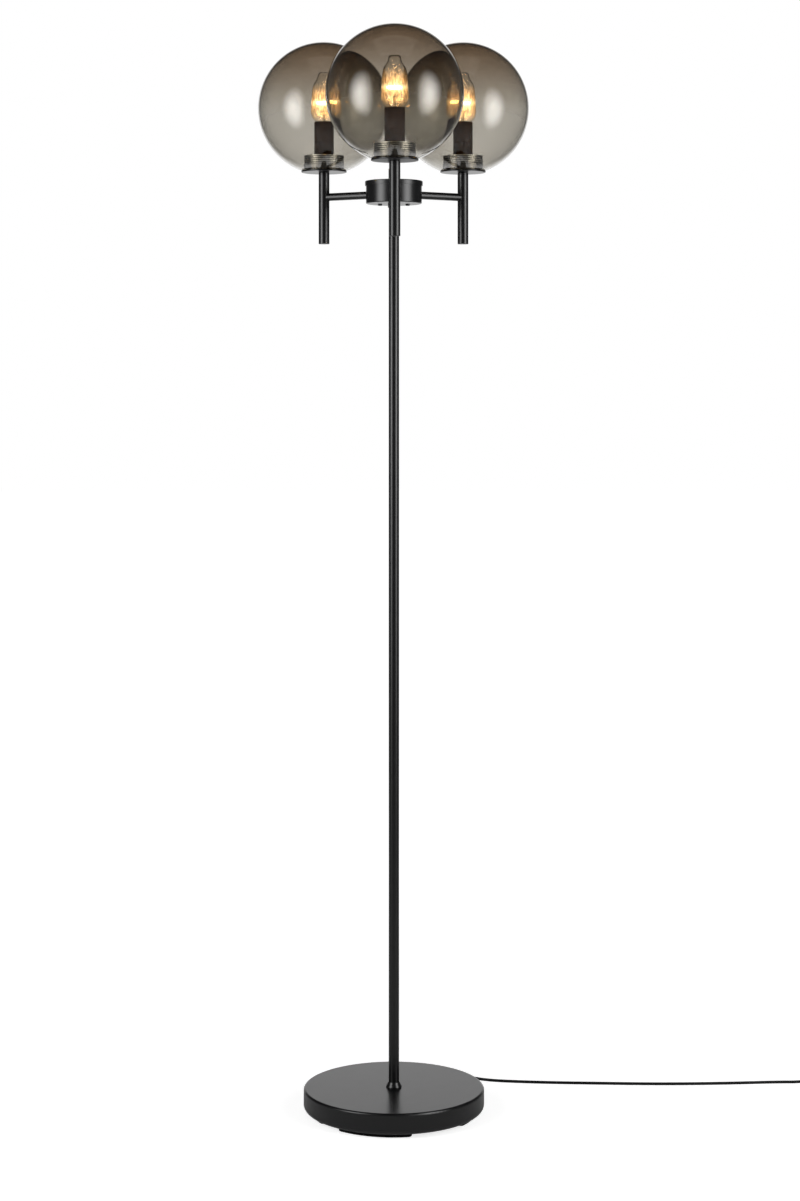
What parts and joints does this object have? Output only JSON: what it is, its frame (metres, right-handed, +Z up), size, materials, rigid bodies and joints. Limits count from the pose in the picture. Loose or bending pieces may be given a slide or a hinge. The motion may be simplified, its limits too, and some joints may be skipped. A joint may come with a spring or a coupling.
{
  "type": "globe floor lamp",
  "caption": "Floor lamp with smoked glass globes on short arms round a slim black pole, a weighted round base and a lead with a foot switch.",
  "frame": {"origin": "middle of the round base, on the floor", "axes": "+Z up along the pole, -Y towards the front arm, +X to the right"},
  "size_m": [1.0179, 0.3804, 1.443],
  "materials": {
    "frame_paint": "satin black powder coat",
    "weight_iron": "rough as cast",
    "plate_steel": "zinc plated",
    "screw_steel": "blackened",
    "pad_rubber": "matt",
    "ring_metal": "nickel plated",
    "collar_metal": "satin turned",
    "smoked_glass": "polished, smoke tinted",
    "clear_glass": "polished, clear",
    "cap_metal": "nickel plated",
    "holder_plastic": "matt black",
    "lead_jacket": "satin black jacket",
    "wire_jacket": "satin",
    "fitting_plastic": "moulded, fine grain",
    "button_plastic": "satin moulded",
    "terminal_plastic": "natural",
    "pin_metal": "nickel plated"
  },
  "bodies": {
    "lamp": {"arm_nuts": "plate_steel", "arms": "frame_paint", "base_cover": "frame_paint", "base_plate": "plate_steel", "base_plate_screws": "screw_steel", "base_relief": "fitting_plastic", "base_washer": "plate_steel", "base_weight": "weight_iron", "cord_gland": "fitting_plastic", "foot_pads": "pad_rubber", "globe_rings": "ring_metal", "holder_discs": "frame_paint", "holder_nipples": "plate_steel", "hub_body": "frame_paint", "hub_lid": "frame_paint", "hub_rod": "plate_steel", "hub_screws": "screw_steel", "hub_spider": "plate_steel", "lamp_wires": "wire_jacket", "lead_coil": "lead_jacket", "lead_to_coil": "lead_jacket", "lead_to_plug": "lead_jacket", "lead_to_switch": "lead_jacket", "lid_finial": "frame_paint", "mains_lead": "lead_jacket", "plug_body": "fitting_plastic", "plug_pins": "pin_metal", "plug_relief": "fitting_plastic", "pole_bushes": "plate_steel", "pole_lower": "frame_paint", "pole_middle": "frame_paint", "pole_neck_collar": "frame_paint", "pole_rods": "plate_steel", "pole_root_collar": "frame_paint", "pole_upper": "frame_paint", "risers": "frame_paint", "rod_nuts": "plate_steel", "socket_inserts": "holder_plastic", "socket_skirts": "holder_plastic", "socket_sleeves": "holder_plastic", "switch_lower": "fitting_plastic", "switch_reliefs": "fitting_plastic", "switch_screws": "screw_steel", "switch_spring": "screw_steel", "switch_upper": "fitting_plastic", "terminal_block": "terminal_plastic"},
    "globe_body_front": {"globe_front": "smoked_glass", "globe_collar_front": "collar_metal"},
    "bulb_body_front": {"bulb_glass_front": "clear_glass", "bulb_base_front": "cap_metal"},
    "globe_body_right": {"globe_right": "smoked_glass", "globe_collar_right": "collar_metal"},
    "bulb_body_right": {"bulb_glass_right": "clear_glass", "bulb_base_right": "cap_metal"},
    "globe_body_left": {"globe_left": "smoked_glass", "globe_collar_left": "collar_metal"},
    "bulb_body_left": {"bulb_glass_left": "clear_glass", "bulb_base_left": "cap_metal"},
    "foot_button": {"switch_button": "button_plastic"}
  },
  "joints": [
    {"name": "globe_lift_front", "type": "slide", "parent": "lamp", "child": "globe_body_front", "axis": [0, 0, 1], "range_m": [0, 0.16]},
    {"name": "bulb_lift_front", "type": "slide", "parent": "lamp", "child": "bulb_body_front", "axis": [0, 0, 1], "range_m": [0, 0.022]},
    {"name": "globe_lift_right", "type": "slide", "parent": "lamp", "child": "globe_body_right", "axis": [0, 0, 1], "range_m": [0, 0.16]},
    {"name": "bulb_lift_right", "type": "slide", "parent": "lamp", "child": "bulb_body_right", "axis": [0, 0, 1], "range_m": [0, 0.022]},
    {"name": "globe_lift_left", "type": "slide", "parent": "lamp", "child": "globe_body_left", "axis": [0, 0, 1], "range_m": [0, 0.16]},
    {"name": "bulb_lift_left", "type": "slide", "parent": "lamp", "child": "bulb_body_left", "axis": [0, 0, 1], "range_m": [0, 0.022]},
    {"name": "foot_button_press", "type": "slide", "parent": "lamp", "child": "foot_button", "axis": [0, 0, -1], "range_m": [0, 0.003], "stiffness_N_per_m": 700, "springref_m": -0.002, "deforming": ["switch_spring"]}
  ]
}
